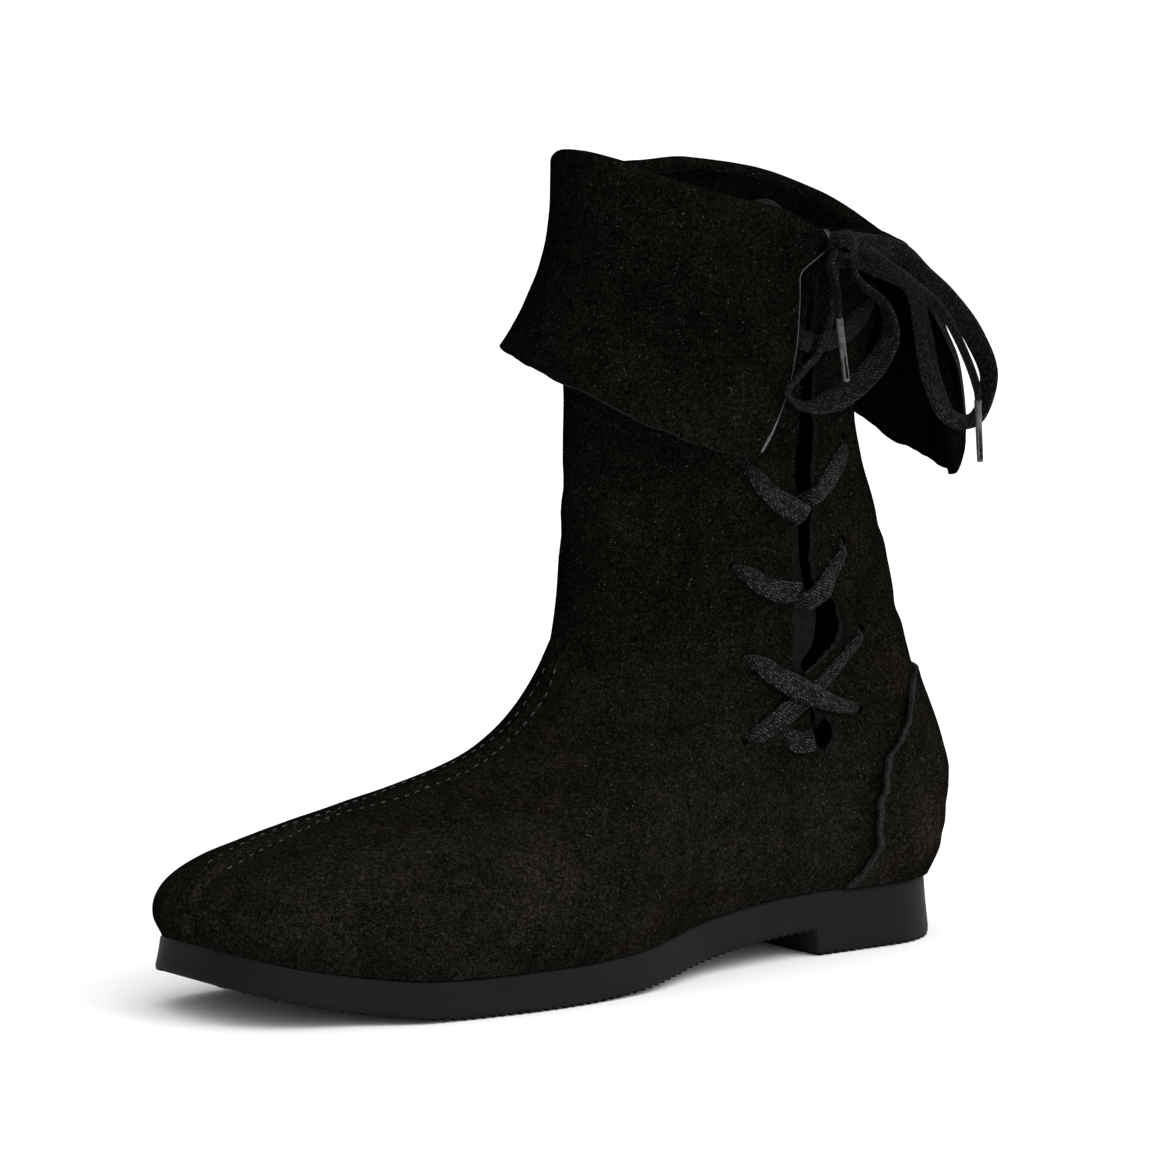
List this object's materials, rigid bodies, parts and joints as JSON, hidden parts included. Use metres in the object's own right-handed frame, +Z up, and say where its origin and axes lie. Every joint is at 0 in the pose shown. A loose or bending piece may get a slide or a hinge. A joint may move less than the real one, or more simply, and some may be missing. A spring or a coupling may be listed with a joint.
{
  "type": "cuffed boot",
  "caption": "Flat suede ankle boot with a turned-down cuff, laced through a slit on its outer side.",
  "frame": {"origin": "on the floor, under the middle of the heel", "axes": "+X towards the toe, +Y towards the outer side of the foot, +Z up"},
  "size_m": [0.2994, 0.1158, 0.2678],
  "materials": {
    "rubber": "matt, moulded",
    "lining": "bare flesh side",
    "suede": "napped, matt",
    "lace": "flat braid",
    "lace_tip": "thin film, slightly shiny"
  },
  "bodies": {
    "root": {"outsole": "rubber", "insole": "lining", "upper": "suede", "heel_counter": "suede", "cuff": "suede", "lace_cross_1": "lace", "lace_cross_2": "lace", "lace_cross_3": "lace", "lace_cross_4": "lace", "lace_knot": "lace", "lace_loop_front": "lace", "lace_loop_back": "lace", "lace_end_front": "lace", "lace_end_back": "lace", "aglet_front": "lace_tip", "aglet_back": "lace_tip"}
  },
  "joints": []
}
